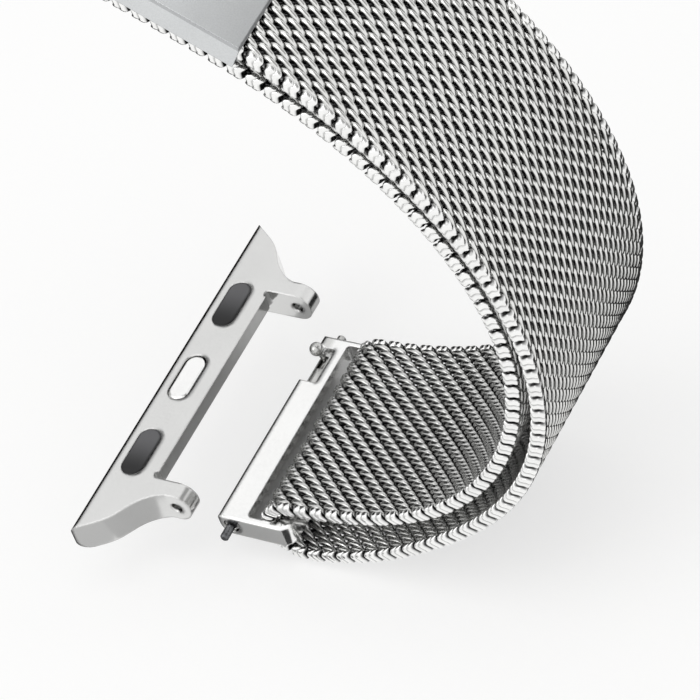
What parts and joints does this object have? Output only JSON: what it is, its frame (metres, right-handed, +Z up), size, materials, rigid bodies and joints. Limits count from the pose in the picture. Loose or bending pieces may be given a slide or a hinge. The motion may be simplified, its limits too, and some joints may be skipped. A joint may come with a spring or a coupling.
{
  "type": "watch band",
  "caption": "Woven steel mesh watch band closed in a loop by a magnetic clasp, with slotted end bars, quick-release spring bars and winged case adapters.",
  "frame": {"origin": "axis of the spring bar in the lower end bar, at the middle of the band", "axes": "+X from the lower end bar into the band, +Y across the band toward the release lever, +Z up, toward the inside of the loop"},
  "size_m": [0.0482, 0.037, 0.0794],
  "materials": {
    "mesh_steel": "woven bright wire",
    "polished_steel": "polished",
    "satin_steel": "satin",
    "dark_steel": "dark polished",
    "spring_steel": "drawn wire",
    "magnet": "plated",
    "pad_rubber": "matte"
  },
  "bodies": {
    "band": {"mesh_fold": "mesh_steel", "mesh_inner_lower": "mesh_steel", "mesh_inner_upper": "mesh_steel", "mesh_inner_tie": "mesh_steel", "mesh_outer_lower": "mesh_steel", "mesh_outer_middle": "mesh_steel"},
    "peel_1": {"mesh_peel_1": "mesh_steel"},
    "peel_2": {"mesh_peel_2": "mesh_steel"},
    "clasp": {"mesh_peel_3": "mesh_steel", "mesh_outer_end": "mesh_steel", "clasp_cover": "satin_steel", "clasp_plate": "satin_steel", "clasp_magnet_1": "magnet", "clasp_magnet_2": "magnet"},
    "upper_end": {"mesh_upper": "mesh_steel", "end_bar_b": "polished_steel", "spring_bar_tube_b": "polished_steel", "spring_bar_pin_b": "dark_steel", "spring_bar_spring_b": "spring_steel"},
    "lower_end": {"end_bar_a": "polished_steel", "spring_bar_tube_a": "polished_steel", "spring_bar_pin_a": "dark_steel", "spring_bar_spring_a": "spring_steel"},
    "release_a": {"spring_bar_tip_a": "polished_steel", "spring_bar_lever_a": "polished_steel"},
    "release_b": {"spring_bar_tip_b": "polished_steel", "spring_bar_lever_b": "polished_steel"},
    "adapter_a": {"adapter_body_a": "satin_steel", "adapter_pad_near_a": "pad_rubber", "adapter_pad_far_a": "pad_rubber", "adapter_retainer_a": "satin_steel", "adapter_spring_a": "spring_steel"},
    "latch_a": {"adapter_button_a": "polished_steel"},
    "adapter_b": {"adapter_body_b": "satin_steel", "adapter_pad_near_b": "pad_rubber", "adapter_pad_far_b": "pad_rubber", "adapter_retainer_b": "satin_steel", "adapter_spring_b": "spring_steel"},
    "latch_b": {"adapter_button_b": "polished_steel"}
  },
  "joints": [
    {"name": "lower_end_tilt", "type": "hinge", "parent": "band", "child": "lower_end", "pos_m": [0.0064, 0, -0.00018], "axis": [0, 1, 0], "range_deg": [-25, 25]},
    {"name": "adapter_a_slide", "type": "slide", "parent": "lower_end", "child": "adapter_a", "axis": [-0.6658, 0, 0.7461], "range_m": [-0.0026, 0.008]},
    {"name": "latch_a_press", "type": "slide", "parent": "adapter_a", "child": "latch_a", "axis": [0, 0, -1], "range_m": [0, 0.0006], "stiffness_N_per_m": 400, "springref_m": -0.0005},
    {"name": "release_a_pull", "type": "slide", "parent": "lower_end", "child": "release_a", "axis": [0, -1, 0], "range_m": [0, 0.0009], "stiffness_N_per_m": 400, "springref_m": -0.0005},
    {"name": "clasp_peel_1", "type": "hinge", "parent": "band", "child": "peel_1", "pos_m": [0.03715, 0, 0.03516], "axis": [0, 1, 0], "range_deg": [0, 12]},
    {"name": "clasp_peel_2", "type": "hinge", "parent": "peel_1", "child": "peel_2", "pos_m": [0.03438, 0, 0.04552], "axis": [0, 1, 0], "range_deg": [0, 12]},
    {"name": "clasp_peel_3", "type": "hinge", "parent": "peel_2", "child": "clasp", "pos_m": [0.02884, 0, 0.0547], "axis": [0, 1, 0], "range_deg": [0, 12]},
    {"name": "upper_end_flex", "type": "hinge", "parent": "band", "child": "upper_end", "pos_m": [0.00742, 0, 0.06851], "axis": [0, 1, 0], "range_deg": [0, 15]},
    {"name": "adapter_b_turn", "type": "hinge", "parent": "upper_end", "child": "adapter_b", "pos_m": [-0.00237, 0, 0.07174], "axis": [0, 1, 0], "range_deg": [-40, 55]},
    {"name": "latch_b_press", "type": "slide", "parent": "adapter_b", "child": "latch_b", "axis": [0.3502, 0, 0.9367], "range_m": [0, 0.0006], "stiffness_N_per_m": 400, "springref_m": -0.0005},
    {"name": "release_b_pull", "type": "slide", "parent": "upper_end", "child": "release_b", "axis": [0, 1, 0], "range_m": [0, 0.0009], "stiffness_N_per_m": 400, "springref_m": -0.0005}
  ],
  "couplings": [
    {"joint": "clasp_peel_2", "follows": "clasp_peel_1", "ratio": 1},
    {"joint": "clasp_peel_3", "follows": "clasp_peel_1", "ratio": 1}
  ]
}
